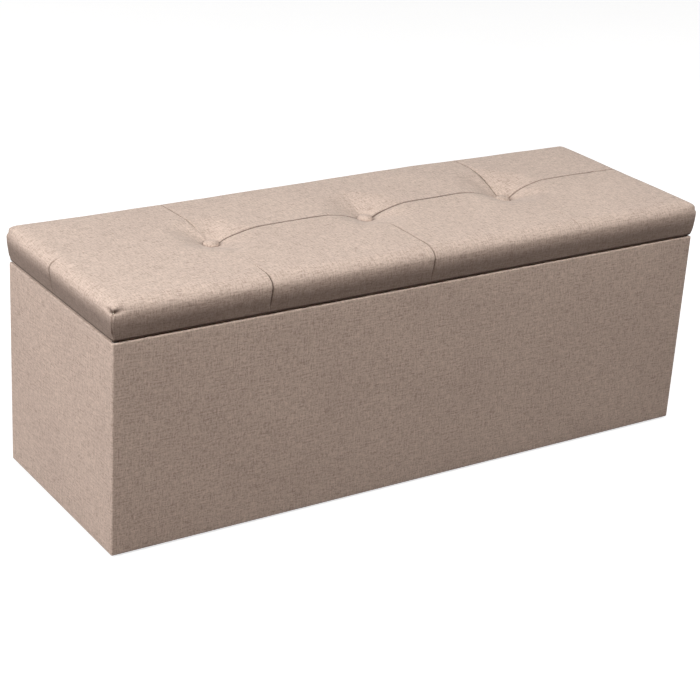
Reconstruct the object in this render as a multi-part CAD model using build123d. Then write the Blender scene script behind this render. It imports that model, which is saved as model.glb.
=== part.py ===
"""Storage bench: a fabric-covered box on glides, with a button-tufted lid on three hinges and two folding stays.

Row frame, in millimetres: +X along the length, +Y to the back (the hinge side), +Z up. The origin is on the
floor, under the middle of the bench. Each sub-part is written to parts/NODE.step.
"""

import os
from math import asin, atan2, cos, degrees, hypot, pi, sin, sqrt

from build123d import *

# ---- driving dimensions -------------------------------------------------------------------------------------
LENGTH, DEPTH = 1140.0, 376.0  # of the box, over its fabric
CASE_HEIGHT = 354.0  # of the box, without the glides and the lid
GLIDE_HEIGHT = 4.0
WALL = 15.0  # board thickness of the four walls
FABRIC = 1.2  # upholstery fabric with its backing
LINING = 0.8  # the thin cloth inside the box
LID_GAP = 3.0  # between the box and the closed lid, filled by the hinge leaves
LID_HEIGHT = 62.0  # of the lid at the edge of its flat top
LID_CROWN = 3.0  # how much the middle of the top stands above that
LID_BULGE = 7.0  # how far the padded sides stand proud of the box
BULGE_HEIGHT = 34.0  # of the widest place, above the lid's underside
LID_BOARD = 12.0
LID_BOARD_INSET = 2.0
COVER = 1.0  # the fabric of the lid
HEM = 40.0  # how far the lid's fabric is turned under the board
LID_OPEN = 95.0  # degrees

# ---- levels and faces worked out from them ------------------------------------------------------------------
HALF_L, HALF_D = LENGTH / 2, DEPTH / 2
CASE_BOTTOM = GLIDE_HEIGHT
CASE_TOP = CASE_BOTTOM + CASE_HEIGHT
WALL_BOTTOM, WALL_TOP = CASE_BOTTOM + FABRIC, CASE_TOP - FABRIC
WALL_OUT_X, WALL_OUT_Y = HALF_L - FABRIC, HALF_D - FABRIC
WALL_IN_X, WALL_IN_Y = WALL_OUT_X - WALL, WALL_OUT_Y - WALL
LID_BOTTOM = CASE_TOP + LID_GAP
BOARD_BOTTOM = LID_BOTTOM + COVER
BOARD_TOP = BOARD_BOTTOM + LID_BOARD

# ---- box details --------------------------------------------------------------------------------------------
BATTEN = 18.0  # square section
BASE = 6.0  # plywood floor of the box
RETURN = 18.0  # how far the fabric is turned over the rim and down the inside
BOTTOM_HEM = 25.0  # how far it is turned under the box
BASE_BOTTOM = WALL_BOTTOM + BATTEN
BASE_TOP = BASE_BOTTOM + BASE
LINING_TOP = CASE_TOP - RETURN
GLIDE_RADIUS = 11.0
BUMPER_RADIUS = 5.0
WALL_SCREW = (45.0, 2.2, 4.4)  # length, radius, head radius
WALL_SCREW_HEIGHTS = (50.0, 140.0, 310.0)
BATTEN_SCREW_LENGTH = 28.0
BATTEN_SCREWS_ALONG, BATTEN_SCREWS_ACROSS = (-420.0, -140.0, 140.0, 420.0), (-90.0, 90.0)
PINS_ALONG = (-450.0, -150.0, 150.0, 450.0)
PIN_LENGTH, PIN_SHANK, PIN_HEAD, PIN_HEAD_HEIGHT = 16.0, 0.7, 1.5, 0.8
NAIL_LENGTH, NAIL_SHANK, NAIL_HEAD, NAIL_HEAD_HEIGHT = 15.6, 1.0, 3.0, 1.2

# ---- buttons: place along X and Y, and the height of the seat under the button ------------------------------
BUTTONS = {"left": (-299.0, 8.0, 405.5), "middle": (0.0, 12.0, 405.5), "right": (295.0, 14.0, 399.0)}
BUTTON_RADIUS, BUTTON_HEIGHT = 13.5, 5.0
DIMPLE_RADIUS = 40.0
TWINE_RADIUS = 0.8
ANCHOR_RADIUS, ANCHOR_HEIGHT = 7.0, 2.0

# ---- hinges -------------------------------------------------------------------------------------------------
HINGE_PLACES = {"left": -400.0, "middle": 0.0, "right": 400.0}
HINGE_LENGTH = 60.0
KNUCKLE_RADIUS, PIN_RADIUS, PIN_CLEARANCE = 2.5, 1.2, 0.05
KNUCKLES, KNUCKLE_GAP = 5, 0.3
LEAF_THICKNESS, LEAF_REACH = 1.3, 15.0
AXIS_Y, AXIS_Z = HALF_D + KNUCKLE_RADIUS, CASE_TOP + LID_GAP / 2

# ---- stays: two equal arms make a rhombus with the hinge axis, so they follow the lid exactly ---------------
ARM_LENGTH = 160.0
ARM_WIDTH, ARM_THICKNESS = 16.0, 2.0
STAY_FORWARD = 34.0  # of the wall pivot, in front of the hinge axis
STAY_DROP = 14.0  # of the lid pivot, below the hinge axis
BRACKET = 1.5  # sheet thickness
ARM_GAP = 0.4  # between neighbouring layers of a stay
RIVET_RADIUS, RIVET_HEAD, RIVET_CLEARANCE = 2.5, 4.5, 0.1
RIVET_HEAD_HEIGHT = 1.5
WALL_PLATE_LENGTH, WALL_PLATE_WIDTH, WALL_PLATE_SCREWS = 64.0, 24.0, 22.0
LID_PLATE_LENGTH, LID_PLATE_WIDTH, LID_PLATE_SCREWS = 44.0, 24.0, 14.0

LOW = (Align.CENTER, Align.CENTER, Align.MIN)


# ---- shapes that repeat -------------------------------------------------------------------------------------
def block(x0, x1, y0, y1, z0, z1):
    """A box between two corners."""
    return Pos((x0 + x1) / 2, (y0 + y1) / 2, (z0 + z1) / 2) * Box(x1 - x0, y1 - y0, z1 - z0)


def ring(x_out, y_out, x_in, y_in, z0, z1):
    """A rectangular tube about the Z axis, from its half sizes outside and inside."""
    return block(-x_out, x_out, -y_out, y_out, z0, z1) - block(-x_in, x_in, -y_in, y_in, z0, z1)


def along_x(radius, x0, x1, y, z):
    """A round bar along X."""
    return Pos(x0, y, z) * Rot(0, 90, 0) * Cylinder(radius, x1 - x0, align=LOW)


def screw(length, radius=1.6, head_radius=3.2):
    """A countersunk screw driven down -Z, with the top of its head at the origin."""
    head = head_radius - radius
    tip = 2 * radius
    body = Pos(0, 0, -head) * Cone(radius, head_radius, head, align=LOW)
    shank = Pos(0, 0, tip - length) * Cylinder(radius, length - tip - head, align=LOW)
    return body + shank + Pos(0, 0, -length) * Cone(0.3, radius, tip, align=LOW)


def pan_screw(length, radius=1.6, head_radius=3.4, head=1.8):
    """A pan-head screw driven up +Z: its shank starts at the origin and its head is below."""
    tip = 2 * radius
    shank = Cylinder(radius, length - tip, align=LOW)
    point = Pos(0, 0, length - tip) * Cone(radius, 0.3, tip, align=LOW)
    cap = Pos(0, 0, -head) * Cylinder(head_radius, head, align=LOW)
    return fillet(cap.edges().group_by(Axis.Z)[0], head * 0.6) + shank + point


def both_ends(shape):
    """The shape and its mirror image at the other end of the bench: (left, right)."""
    return mirror(shape, about=Plane.YZ), shape


def save(name, *solids):
    """Writes one sub-part."""
    flat = [s for shape in solids for s in (shape if isinstance(shape, (list, tuple)) else [shape])]
    whole = [solid for shape in flat for solid in shape.solids()]
    export_step(whole[0] if len(whole) == 1 else Compound(children=whole), f"parts/{name}.step")


# ---- the box ------------------------------------------------------------------------------------------------
def wall_screws():
    """Screws through the front and back walls into the edges of the end walls."""
    made = []
    for x in (-1, 1):
        for z in WALL_SCREW_HEIGHTS:
            place = (x * (WALL_OUT_X - WALL / 2), WALL_OUT_Y, z)
            back = Pos(*place) * Rot(-90, 0, 0) * screw(*WALL_SCREW)
            made += [back, mirror(back, about=Plane.XZ)]
    return made


def batten_screws():
    """Screws through the battens into the walls."""
    made = []
    z = WALL_BOTTOM + BATTEN / 2
    for x in BATTEN_SCREWS_ALONG:
        back = Pos(x, WALL_IN_Y - BATTEN, z) * Rot(90, 0, 0) * screw(BATTEN_SCREW_LENGTH)
        made += [back, mirror(back, about=Plane.XZ)]
    for y in BATTEN_SCREWS_ACROSS:
        made += both_ends(Pos(WALL_IN_X - BATTEN, y, z) * Rot(0, -90, 0) * screw(BATTEN_SCREW_LENGTH))
    return made


def base_pins():
    """Panel pins through the floor of the box into the battens."""
    pin = Pos(0, 0, -PIN_LENGTH) * Cylinder(PIN_SHANK, PIN_LENGTH - PIN_HEAD_HEIGHT, align=LOW)
    pin += Pos(0, 0, -PIN_HEAD_HEIGHT) * Cylinder(PIN_HEAD, PIN_HEAD_HEIGHT, align=LOW)
    places = [(x, y * (WALL_IN_Y - BATTEN / 2)) for x in PINS_ALONG for y in (-1, 1)]
    places += [(x * (WALL_IN_X - BATTEN / 2), 0.0) for x in (-1, 1)]
    return [Pos(x, y, BASE_TOP) * pin for x, y in places]


def glide_places():
    """Under the front and back battens, at the corners and in the middle."""
    x, y = WALL_IN_X - BATTEN / 2, WALL_IN_Y - BATTEN / 2
    return [(i * x, j * y) for i in (-1, 0, 1) for j in (-1, 1)]


def glides():
    """Plastic discs, chamfered at the floor and moulded round the heads of their nails."""
    disc = Cylinder(GLIDE_RADIUS, GLIDE_HEIGHT, align=LOW)
    disc = chamfer(disc.edges().group_by(Axis.Z)[0], 1.0)
    return [Pos(x, y, 0) * (disc - nail()) for x, y in glide_places()]


def nail():
    """The nail of a glide, whose head is moulded into the disc."""
    head = Pos(0, 0, NAIL_HEAD_HEIGHT) * Cylinder(NAIL_HEAD, NAIL_HEAD_HEIGHT, align=LOW)
    return head + Pos(0, 0, 2 * NAIL_HEAD_HEIGHT) * Cylinder(NAIL_SHANK, NAIL_LENGTH, align=LOW)


def glide_nails():
    return [Pos(x, y, 0) * nail() for x, y in glide_places()]


def outer_cover():
    """The fabric of the box as one wrap: outside, over the rim, down the inside, and under the bottom."""
    wrap = ring(HALF_L, HALF_D, WALL_IN_X - FABRIC, WALL_IN_Y - FABRIC, CASE_BOTTOM, CASE_TOP)
    wrap -= ring(WALL_OUT_X, WALL_OUT_Y, WALL_IN_X, WALL_IN_Y, WALL_BOTTOM, WALL_TOP)
    wrap -= ring(WALL_IN_X, WALL_IN_Y, WALL_IN_X - 2 * FABRIC, WALL_IN_Y - 2 * FABRIC, CASE_BOTTOM, LINING_TOP)
    wrap += ring(HALF_L, HALF_D, HALF_L - BOTTOM_HEM, HALF_D - BOTTOM_HEM, CASE_BOTTOM, WALL_BOTTOM)
    return wrap


def cover_panels(wrap):
    """The wrap cut at its mitred corners into the four sewn panels."""
    apex = HALF_L - HALF_D
    front = Polygon((-HALF_L, -HALF_D), (HALF_L, -HALF_D), (apex, 0), (-apex, 0), align=None)
    right = Polygon((HALF_L, -HALF_D), (HALF_L, HALF_D), (apex, 0), align=None)
    prisms = {
        "front": extrude(front, CASE_TOP),
        "back": extrude(mirror(front, about=Plane.XZ), CASE_TOP, dir=(0, 0, 1)),
        "right": extrude(right, CASE_TOP),
        "left": extrude(mirror(right, about=Plane.YZ), CASE_TOP, dir=(0, 0, 1)),
    }
    return {side: wrap & prism for side, prism in prisms.items()}


def linings():
    """The cloth glued inside the walls and on the floor."""
    x, y, z0, z1 = WALL_IN_X, WALL_IN_Y, BASE_TOP, LINING_TOP
    left, right = both_ends(block(x - LINING, x, LINING - y, y - LINING, z0 + LINING, z1))
    return {
        "front": block(-x, x, -y, LINING - y, z0 + LINING, z1),
        "back": block(-x, x, y - LINING, y, z0 + LINING, z1),
        "left": left,
        "right": right,
        "floor": block(-x, x, -y, y, z0, z0 + LINING),
    }


# ---- the lid ------------------------------------------------------------------------------------------------
def lid_profile(half, inset, plane):
    """The lid's cross-section, whose underside is 2 * half wide, moved inwards by inset."""
    low_radius = (LID_BULGE**2 + BULGE_HEIGHT**2) / (2 * LID_BULGE)
    top_radius = LID_HEIGHT - BULGE_HEIGHT
    middle = LID_BOTTOM + BULGE_HEIGHT
    start = asin((inset - BULGE_HEIGHT) / (low_radius - inset))

    def point(radius, angle):
        r = radius - inset
        return half + LID_BULGE - radius + r * cos(angle), middle + r * sin(angle)

    side = [point(low_radius, start), point(low_radius, start / 2), point(low_radius, 0)]
    top = [point(top_radius, 0), point(top_radius, pi / 4), point(top_radius, pi / 2)]
    crown = (0, LID_BOTTOM + LID_HEIGHT + LID_CROWN - inset)
    right = [ThreePointArc(*side), ThreePointArc(*top)]
    left = [mirror(edge, about=Plane.YZ) for edge in right]
    edges = right + left
    edges.append(ThreePointArc(top[2], crown, (-top[2][0], top[2][1])))
    edges.append(Line(side[0], (-side[0][0], side[0][1])))
    return plane * make_face(edges)


def dimples(inset):
    """What the buttons press out of the seat."""
    made = []
    for x, y, z in BUTTONS.values():
        z -= inset
        radius = DIMPLE_RADIUS + inset
        made.append(Pos(x, y, z + radius) * Sphere(radius))
        made.append(Pos(x, y, z) * Cylinder(BUTTON_RADIUS + 0.5 + inset, LID_HEIGHT, align=LOW))
    return made


def cushion(inset):
    """The padded lid as one closed solid, moved inwards by inset."""
    along = extrude(lid_profile(HALF_D, inset, Plane.YZ), LENGTH, both=True)
    across = extrude(lid_profile(HALF_L, inset, Plane.XZ), DEPTH, both=True)
    return (along & across) - dimples(inset)


def lid_board():
    """The board with the recesses of the twine anchors."""
    x, y = HALF_L - LID_BOARD_INSET, HALF_D - LID_BOARD_INSET
    return block(-x, x, -y, y, BOARD_BOTTOM, BOARD_TOP) - anchors()


def twines():
    """The threads that pull the buttons down through cover, foam and board."""
    foot = BOARD_BOTTOM + ANCHOR_HEIGHT
    return [Pos(x, y, foot) * Cylinder(TWINE_RADIUS, z - foot, align=LOW) for x, y, z in BUTTONS.values()]


def anchors():
    """Discs in the underside of the board that hold the threads."""
    disc = Cylinder(ANCHOR_RADIUS, ANCHOR_HEIGHT, align=LOW)
    return [Pos(x, y, BOARD_BOTTOM) * disc for x, y, _ in BUTTONS.values()]


def button():
    """A fabric-covered button, flat below and domed above."""
    cap = Cylinder(BUTTON_RADIUS, BUTTON_HEIGHT, align=LOW)
    return fillet(cap.edges().group_by(Axis.Z)[-1], BUTTON_HEIGHT * 0.8)


def hem_staples():
    """Staples across the turned-under fabric of the lid, left standing 0.4 mm proud."""
    wire, span, leg, proud = 0.5, 10.0, 5.0, 0.4
    pitch, shift, inset = 95.0, 22.0, 28.0
    staple = block(-span / 2, span / 2, -wire, wire, -proud, 0)
    for side in (-1, 1):
        staple += Pos(side * (span / 2 - wire), 0, 0) * Box(2 * wire, 2 * wire, leg, align=LOW)
    made = []
    for i in range(-5, 6):
        for side in (-1, 1):
            made.append(Pos(i * pitch + shift, side * (HALF_D - inset), LID_BOTTOM) * staple)
    for side in (-1, 1):
        for y in (-75.0, -15.0):
            made.append(Pos(side * (HALF_L - inset), y, LID_BOTTOM) * Rot(0, 0, 90) * staple)
    return made


# ---- hinges -------------------------------------------------------------------------------------------------
def knuckle_spans(first):
    """The stretches of the hinge's barrel, along X, that one leaf holds."""
    pitch = HINGE_LENGTH / KNUCKLES
    for i in range(first, KNUCKLES, 2):
        start = i * pitch - HINGE_LENGTH / 2
        yield start + KNUCKLE_GAP / 2, start + pitch - KNUCKLE_GAP / 2


def leaf(first, z0, z1):
    """A hinge leaf about x = 0: its plate, its knuckles from the given one on, and room for the others."""
    plate = block(-HINGE_LENGTH / 2, HINGE_LENGTH / 2, AXIS_Y - KNUCKLE_RADIUS - LEAF_REACH, AXIS_Y, z0, z1)
    for x0, x1 in knuckle_spans(1 - first):
        plate -= along_x(KNUCKLE_RADIUS + ARM_GAP, x0 - KNUCKLE_GAP, x1 + KNUCKLE_GAP, AXIS_Y, AXIS_Z)
    for x0, x1 in knuckle_spans(first):
        plate += along_x(KNUCKLE_RADIUS, x0, x1, AXIS_Y, AXIS_Z)
    return plate - along_x(PIN_RADIUS + PIN_CLEARANCE, -HINGE_LENGTH, HINGE_LENGTH, AXIS_Y, AXIS_Z)


def hinge_pin():
    """The pin, with a small head at each end of the barrel."""
    half = HINGE_LENGTH / 2
    pin = along_x(PIN_RADIUS, -half, half, AXIS_Y, AXIS_Z)
    for side in (-1, 1):
        pin += along_x(PIN_RADIUS + 0.7, *sorted((side * half, side * (half + 0.8))), AXIS_Y, AXIS_Z)
    return pin


def leaf_screws(z, flip):
    """Countersunk screws of one leaf, about x = 0."""
    turn = Rot(180, 0, 0) if flip else Rot(0, 0, 0)
    y = AXIS_Y - KNUCKLE_RADIUS - LEAF_REACH / 2
    return [Pos(x, y, z) * turn * screw(11.0, 1.3, 2.55) for x in (-20.0, 0.0, 20.0)]


# ---- stays --------------------------------------------------------------------------------------------------
def stay_pivots():
    """(y, z) of the wall pivot, the elbow and the lid pivot, with the lid closed."""
    rise = -sqrt(ARM_LENGTH**2 - STAY_FORWARD**2)
    reach = sqrt(ARM_LENGTH**2 - STAY_DROP**2)
    wall = (AXIS_Y - STAY_FORWARD, AXIS_Z + rise)
    lid = (AXIS_Y - reach, AXIS_Z - STAY_DROP)
    elbow = (wall[0] + lid[0] - AXIS_Y, wall[1] + lid[1] - AXIS_Z)
    return wall, elbow, lid


def layer(start, thickness):
    """(x0, x1) of a layer of the right-hand stay, counted from the lining of the end wall."""
    face = WALL_IN_X - LINING
    return face - start - thickness, face - start


ARM_START = BRACKET + ARM_GAP
LOWER_LAYER = layer(ARM_START, ARM_THICKNESS)
UPPER_LAYER = layer(ARM_START + ARM_THICKNESS + ARM_GAP, ARM_THICKNESS)
TAB_LAYER = layer(ARM_START + ARM_THICKNESS - BRACKET, BRACKET)


def arm(p, q, layer_x):
    """A flat bar with round ends and a hole at each, between two pivots."""
    length = hypot(q[0] - p[0], q[1] - p[1])
    turn = degrees(atan2(q[1] - p[1], q[0] - p[0]))
    middle = Pos((p[0] + q[0]) / 2, (p[1] + q[1]) / 2) * Rot(0, 0, turn)
    slot = Plane.YZ.offset(layer_x[0]) * middle * SlotCenterToCenter(length, ARM_WIDTH)
    bar = extrude(slot, layer_x[1] - layer_x[0], dir=(1, 0, 0))
    for y, z in (p, q):
        bar -= along_x(RIVET_RADIUS + RIVET_CLEARANCE, layer_x[0] - 1, layer_x[1] + 1, y, z)
    return bar


def rivet(pivot, x_inner, x_outer):
    """A rivet through everything between two planes, with a domed head on the room side."""
    head = along_x(RIVET_HEAD, x_inner - RIVET_HEAD_HEIGHT, x_inner, *pivot)
    head = fillet(head.edges().group_by(Axis.X)[0], 0.8 * RIVET_HEAD_HEIGHT)
    return head + along_x(RIVET_RADIUS, x_inner, x_outer, *pivot)


def stay():
    """The right-hand stay: every piece of it, and the screws that hold its brackets."""
    wall, elbow, lid = stay_pivots()
    plate_x = layer(0, BRACKET)
    plate = SlotOverall(WALL_PLATE_LENGTH, WALL_PLATE_WIDTH, rotation=90)
    plate = Plane.YZ.offset(plate_x[0]) * Pos(*wall) * plate
    wall_screws_of = [
        Pos(plate_x[0], wall[0], wall[1] + dz) * Rot(0, -90, 0) * screw(13.0, 1.6, 3.0)
        for dz in (-WALL_PLATE_SCREWS, WALL_PLATE_SCREWS)
    ]
    wall_bracket = extrude(plate, BRACKET, dir=(1, 0, 0)) - wall_screws_of
    wall_bracket += along_x(RIVET_HEAD, plate_x[0] - ARM_GAP, plate_x[0], *wall)
    wall_rivet = rivet(wall, LOWER_LAYER[0], plate_x[1])

    elbow_rivet = rivet(elbow, UPPER_LAYER[0], LOWER_LAYER[1])
    upper = arm(lid, elbow, UPPER_LAYER)
    lower = arm(wall, elbow, LOWER_LAYER)

    tab = Plane.YZ.offset(TAB_LAYER[0]) * Pos(*lid) * Circle(ARM_WIDTH / 2)
    tab = extrude(tab, BRACKET, dir=(1, 0, 0))
    tab += block(*TAB_LAYER, lid[0] - ARM_WIDTH / 2, lid[0] + ARM_WIDTH / 2, lid[1], LID_BOTTOM)
    reach = LID_PLATE_LENGTH / 2
    edge = TAB_LAYER[1] - LID_PLATE_WIDTH
    flange = block(edge, TAB_LAYER[1], lid[0] - reach, lid[0] + reach, LID_BOTTOM - BRACKET, LID_BOTTOM)
    lid_screws = [
        Pos(edge + LID_PLATE_WIDTH / 2 - 2, lid[0] + dy, LID_BOTTOM - BRACKET) * pan_screw(12.0)
        for dy in (-LID_PLATE_SCREWS, LID_PLATE_SCREWS)
    ]
    lid_bracket = (tab + flange) - lid_screws
    lid_rivet = rivet(lid, UPPER_LAYER[0], TAB_LAYER[1])
    return {
        "stay_wall_bracket": wall_bracket - wall_rivet,
        "stay_wall_rivet": wall_rivet,
        "stay_lower_arm": lower,
        "stay_upper_arm": upper,
        "stay_elbow_rivet": elbow_rivet,
        "stay_lid_bracket": lid_bracket - lid_rivet,
        "stay_lid_rivet": lid_rivet,
        "wall_screws": wall_screws_of,
        "lid_screws": lid_screws,
    }


# ---- the whole bench ----------------------------------------------------------------------------------------
def build():
    os.makedirs("parts", exist_ok=True)
    parts = {}

    stay_pieces = stay()
    stay_wall_screws = [s for one in stay_pieces.pop("wall_screws") for s in both_ends(one)]
    stay_lid_screws = [s for one in stay_pieces.pop("lid_screws") for s in both_ends(one)]
    for name, piece in stay_pieces.items():
        parts[f"left_{name}"], parts[f"right_{name}"] = both_ends(piece)

    case_leaf = leaf(0, CASE_TOP, CASE_TOP + LEAF_THICKNESS)
    lid_leaf = leaf(1, LID_BOTTOM - LEAF_THICKNESS, LID_BOTTOM)
    case_leaf_screws, lid_leaf_screws = [], []
    for side, x in HINGE_PLACES.items():
        upper = [Pos(x, 0, 0) * s for s in leaf_screws(LID_BOTTOM - LEAF_THICKNESS, True)]
        lower = [Pos(x, 0, 0) * s for s in leaf_screws(CASE_TOP + LEAF_THICKNESS, False)]
        parts[f"{side}_hinge_case_leaf"] = Pos(x, 0, 0) * case_leaf - lower
        parts[f"{side}_hinge_lid_leaf"] = Pos(x, 0, 0) * lid_leaf - upper
        case_leaf_screws += lower
        lid_leaf_screws += upper
    parts["hinge_pins"] = [Pos(x, 0, 0) * hinge_pin() for x in HINGE_PLACES.values()]
    parts["case_leaf_screws"] = case_leaf_screws
    parts["lid_leaf_screws"] = lid_leaf_screws

    ends, rails, pins, nails = wall_screws(), batten_screws(), base_pins(), glide_nails()
    parts["wall_screws"] = ends
    parts["batten_screws"] = rails
    parts["base_pins"] = pins
    parts["glide_nails"] = nails
    parts["glides"] = glides()
    parts["stay_wall_screws"] = stay_wall_screws
    parts["stay_lid_screws"] = stay_lid_screws

    x, y = WALL_IN_X, WALL_IN_Y
    back = block(-WALL_OUT_X, WALL_OUT_X, y, WALL_OUT_Y, WALL_BOTTOM, WALL_TOP)
    parts["front_panel"] = mirror(back, about=Plane.XZ) - ends - rails
    parts["back_panel"] = back - ends - rails - case_leaf_screws
    for side, end in zip(("left", "right"), both_ends(block(x, WALL_OUT_X, -y, y, WALL_BOTTOM, WALL_TOP))):
        parts[f"{side}_panel"] = end - ends - rails - stay_wall_screws

    bars = {
        "back_batten": block(-x, x, y - BATTEN, y, WALL_BOTTOM, BASE_BOTTOM),
        "front_batten": block(-x, x, -y, BATTEN - y, WALL_BOTTOM, BASE_BOTTOM),
        "right_batten": block(x - BATTEN, x, BATTEN - y, y - BATTEN, WALL_BOTTOM, BASE_BOTTOM),
        "left_batten": block(-x, BATTEN - x, BATTEN - y, y - BATTEN, WALL_BOTTOM, BASE_BOTTOM),
    }
    for name, bar in bars.items():
        parts[name] = bar - rails - pins - nails
    parts["base_board"] = block(-x, x, -y, y, BASE_BOTTOM, BASE_TOP) - pins

    wrap = outer_cover() - nails - case_leaf_screws
    for side, panel in cover_panels(wrap).items():
        parts[f"{side}_cover"] = panel
    for side, cloth in linings().items():
        parts[f"{side}_lining"] = cloth - stay_wall_screws
    sheet_x, sheet_y = HALF_L - BOTTOM_HEM, HALF_D - BOTTOM_HEM
    parts["dust_cover"] = block(-sheet_x, sheet_x, -sheet_y, sheet_y, WALL_BOTTOM - LINING, WALL_BOTTOM) - nails

    bumper = Cylinder(BUMPER_RADIUS, LID_GAP - 0.2, align=LOW)
    bumper = fillet(bumper.edges().group_by(Axis.Z)[-1], 1.2)
    corner = (HALF_L - FABRIC - WALL / 2, HALF_D - FABRIC - WALL / 2)
    parts["lid_bumpers"] = [Pos(side * corner[0], -corner[1], CASE_TOP) * bumper for side in (-1, 1)]

    threads, staples = twines(), hem_staples()
    into_lid = lid_leaf_screws + stay_lid_screws + staples
    board = lid_board()
    inside = cushion(COVER)
    opening_x, opening_y = HALF_L - HEM, HALF_D - HEM
    lining = block(-opening_x, opening_x, -opening_y, opening_y, LID_BOTTOM, BOARD_BOTTOM)
    parts["lid_board"] = board - threads - into_lid
    parts["foam_pad"] = inside - block(
        LID_BOARD_INSET - HALF_L, HALF_L - LID_BOARD_INSET,
        LID_BOARD_INSET - HALF_D, HALF_D - LID_BOARD_INSET,
        LID_BOTTOM, BOARD_TOP,
    ) - threads
    parts["seat_cover"] = cushion(0) - inside - lining - threads - into_lid
    parts["lid_lining"] = lining - stay_lid_screws
    parts["hem_staples"] = staples
    parts["twine_anchors"] = anchors()
    parts["button_twines"] = threads
    for side, (bx, by, bz) in BUTTONS.items():
        parts[f"{side}_button"] = Pos(bx, by, bz) * button()

    for name, solids in parts.items():
        save(name, solids)


build()
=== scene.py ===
"""Storage bench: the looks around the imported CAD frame. Lengths are in millimetres until a mesh is made."""

import math

import bmesh
import bpy
import numpy as np
from mathutils import Matrix, Vector


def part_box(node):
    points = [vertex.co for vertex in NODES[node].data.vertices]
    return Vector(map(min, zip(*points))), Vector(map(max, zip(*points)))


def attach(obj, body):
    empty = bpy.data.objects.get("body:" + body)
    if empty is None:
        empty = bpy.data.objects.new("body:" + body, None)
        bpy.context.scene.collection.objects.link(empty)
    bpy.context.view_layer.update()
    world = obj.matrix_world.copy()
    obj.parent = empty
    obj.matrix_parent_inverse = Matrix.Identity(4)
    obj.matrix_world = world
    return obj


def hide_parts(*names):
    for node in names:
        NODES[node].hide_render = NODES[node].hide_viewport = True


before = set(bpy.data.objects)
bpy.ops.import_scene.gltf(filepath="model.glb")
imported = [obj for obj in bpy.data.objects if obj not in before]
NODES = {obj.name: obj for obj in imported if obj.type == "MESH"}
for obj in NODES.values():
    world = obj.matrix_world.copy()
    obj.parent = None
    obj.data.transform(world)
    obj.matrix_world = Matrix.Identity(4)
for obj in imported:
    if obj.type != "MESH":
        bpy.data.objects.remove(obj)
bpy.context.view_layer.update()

MM = 0.001


def box_mm(*nodes):
    """Lowest and highest corner of some CAD nodes together, in millimetres."""
    corners = [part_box(n) for n in nodes]
    low = np.min([np.array(c[0]) for c in corners], axis=0)
    high = np.max([np.array(c[1]) for c in corners], axis=0)
    return low / MM, high / MM


# ---- sizes from the frame ----
CASE_LOW, CASE_HIGH = box_mm("front_cover", "back_cover")
LID_LOW, LID_HIGH = box_mm("seat_cover")
PANEL_HIGH = box_mm("front_panel", "back_panel")[1]
DUST_HIGH = box_mm("dust_cover")[1]
BOARD_HIGH = box_mm("lid_board")[1]
HEM_EDGE = box_mm("lid_lining")[1]
BUTTON_NAMES = ("left_button", "middle_button", "right_button")
BUTTON_BOXES = [box_mm(n) for n in BUTTON_NAMES]
BUTTONS = [((lo[0] + hi[0]) / 2, (lo[1] + hi[1]) / 2, lo[2]) for lo, hi in BUTTON_BOXES]
BUTTON_RADIUS = (BUTTON_BOXES[0][1][0] - BUTTON_BOXES[0][0][0]) / 2

HALF_L, HALF_D = CASE_HIGH[0], CASE_HIGH[1]
LID_BOTTOM = LID_LOW[2]
BULGE = LID_HIGH[0] - HALF_L  # how far the cushion stands out over the box

# ---- the cushion's own shape ----
ROLL = 30.0  # how far in from the widest place the top's edge starts to roll over
SQUARENESS = 2.05  # of the roll: 2 is a quarter of an ellipse
ROLL_STEPS = 14
EDGE_HEIGHT = 62.0  # of the top at the start of the roll, above the lid's bottom
BULGE_HEIGHT = 43.0  # of the widest place
BAND_HEIGHTS = (39.0, 35.0, 31.0, 27.0, 23.0, 19.0, 15.5, 12.0, 9.0, 6.5, 4.3)  # of the rings below it
FOLD = 2.5  # radius of the cover's turn under the board
FOOT = -0.6  # how far outside the box the cover stands where that turn starts
TOP_CORNER, SIDE_CORNER, BOTTOM_CORNER = 6.0, 10.0, 4.0  # radii of the corners, seen from above
CORNER_CELLS = 8
CELL = 9.5  # the grid's spacing away from seams and corners
SHIFT_REACH = 60.0  # over how far the grid gives way so that its seam lines follow the seams
SEAM_CELLS = (0.0, 0.9, 2.0, 3.6, 6.0, 9.5, 14.5, 21.5)  # distances of the grid lines beside a seam

CROWN, CROWN_REACH = 2.5, 60.0
UNEVEN, UNEVEN_SIZE = 0.8, 70.0  # height and size of the padding's soft lumps
BACK_RISE, BACK_RISE_X, BACK_RISE_WIDTH = 3.6, 170.0, 270.0  # fuller padding at the back, right of the middle
CORNER_LOSS, CORNER_LOSS_REACH = 0.6, 35.0  # share of the bulge that is missing at the corners

SEAM_EDGE_X = 303.0  # of the outer cross seams, where they leave the top
CROSS_EDGES = (-SEAM_EDGE_X, 0.0, SEAM_EDGE_X)
SEAM_BEND = 70.0  # from how far off a cross seam bends to its button
LONG_SEAM_ENDS = (11.0, 8.0)  # how far behind its last button the long seam ends, left and right
SEAM_DEPTH, SEAM_DEPTH_INSIDE, SEAM_REACH = 0.9, 1.4, 17.0
EDGE_DEPTH, EDGE_REACH = 0.9, 5.0  # the rounded edges of the panels beside a seam
GROOVE_DEPTH, GROOVE_REACH = 2.0, 1.4

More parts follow.
